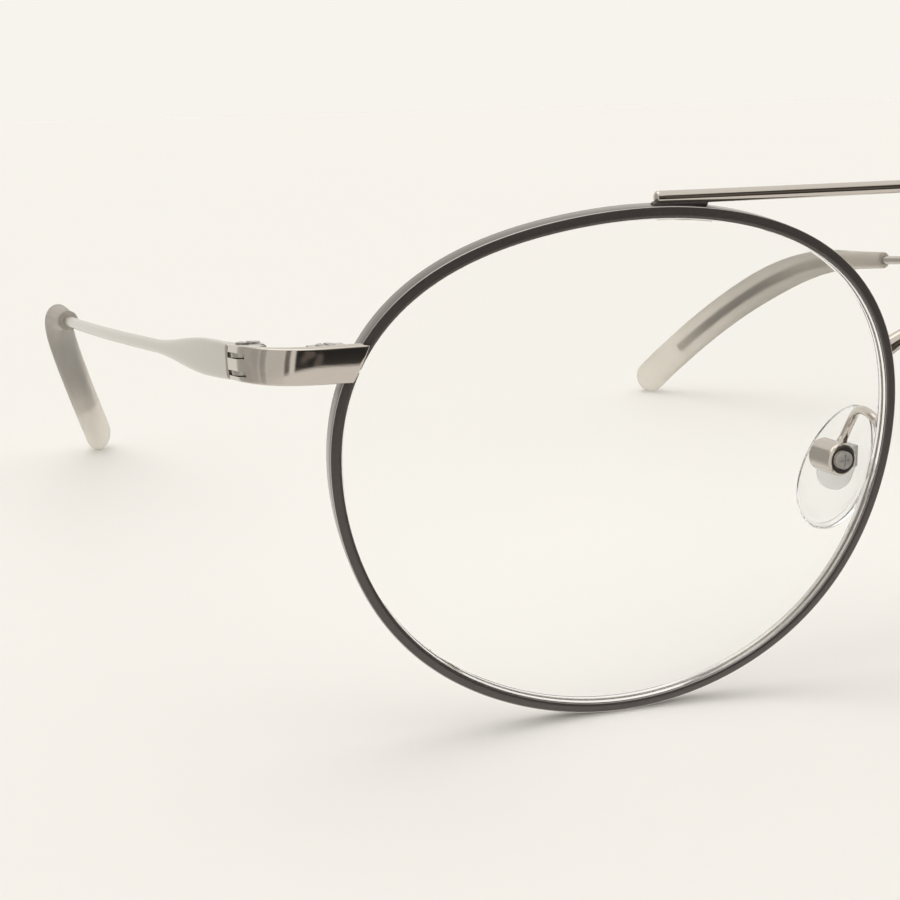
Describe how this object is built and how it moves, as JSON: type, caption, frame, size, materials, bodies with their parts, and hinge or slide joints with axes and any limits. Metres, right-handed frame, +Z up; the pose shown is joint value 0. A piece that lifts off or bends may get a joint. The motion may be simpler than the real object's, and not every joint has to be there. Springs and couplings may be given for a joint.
{
  "type": "eyeglass frame",
  "caption": "Round metal eyeglass frame with a brow bar, arched bridge, adjustable nose pads and folding wire temples with moulded tips.",
  "frame": {"origin": "on the table under the middle of the open frame's bounding box; the frame stands on its two rims and two temple tips", "axes": "+X to the wearer's left, +Y back along the temples towards the ears, +Z up"},
  "size_m": [0.1364, 0.1503, 0.0475],
  "materials": {
    "rim_lacquer": "dark gunmetal brown, satin",
    "polished_steel": "polished",
    "satin_steel": "satin",
    "temple_steel": "fine satin, semi-gloss",
    "screw_steel": "turned",
    "clear_lens": "clear, polished",
    "smoke_tip": "translucent grey, smooth",
    "pad_plate": "frosted",
    "clear_silicone": "clear silicone"
  },
  "bodies": {
    "front": {"brow_bar": "polished_steel", "nose_bridge": "polished_steel", "right_rim": "rim_lacquer", "right_lens": "clear_lens", "right_end_piece": "polished_steel", "right_upper_lock": "satin_steel", "right_lower_lock": "satin_steel", "right_lock_screw": "screw_steel", "right_front_hinge": "satin_steel", "right_hinge_screw": "screw_steel", "right_pad_arm": "polished_steel", "right_pad_box": "polished_steel", "right_pad_screw": "screw_steel", "left_rim": "rim_lacquer", "left_lens": "clear_lens", "left_end_piece": "polished_steel", "left_upper_lock": "satin_steel", "left_lower_lock": "satin_steel", "left_lock_screw": "screw_steel", "left_front_hinge": "satin_steel", "left_hinge_screw": "screw_steel", "left_pad_arm": "polished_steel", "left_pad_box": "polished_steel", "left_pad_screw": "screw_steel"},
    "right_temple_body": {"right_temple": "temple_steel", "right_temple_tip": "smoke_tip", "right_temple_hinge": "satin_steel"},
    "right_pad_body": {"right_nose_pad": "clear_silicone", "right_pad_core": "pad_plate"},
    "left_temple_body": {"left_temple": "temple_steel", "left_temple_tip": "smoke_tip", "left_temple_hinge": "satin_steel"},
    "left_pad_body": {"left_nose_pad": "clear_silicone", "left_pad_core": "pad_plate"}
  },
  "joints": [
    {"name": "right_hinge", "type": "hinge", "parent": "front", "child": "right_temple_body", "pos_m": [-0.0666, -0.06068, 0.03441], "axis": [0, -0.0812, -0.9967], "range_deg": [0, 83]},
    {"name": "left_hinge", "type": "hinge", "parent": "front", "child": "left_temple_body", "pos_m": [0.0666, -0.06068, 0.03441], "axis": [0, 0.0812, 0.9967], "range_deg": [0, 70]},
    {"name": "right_pad_pivot", "type": "hinge", "parent": "front", "child": "right_pad_body", "pos_m": [-0.0103, -0.06348, 0.02093], "axis": [0, 1, 0], "range_deg": [-6, 6]},
    {"name": "left_pad_pivot", "type": "hinge", "parent": "front", "child": "left_pad_body", "pos_m": [0.0103, -0.06348, 0.02093], "axis": [0, 1, 0], "range_deg": [-6, 6]}
  ]
}
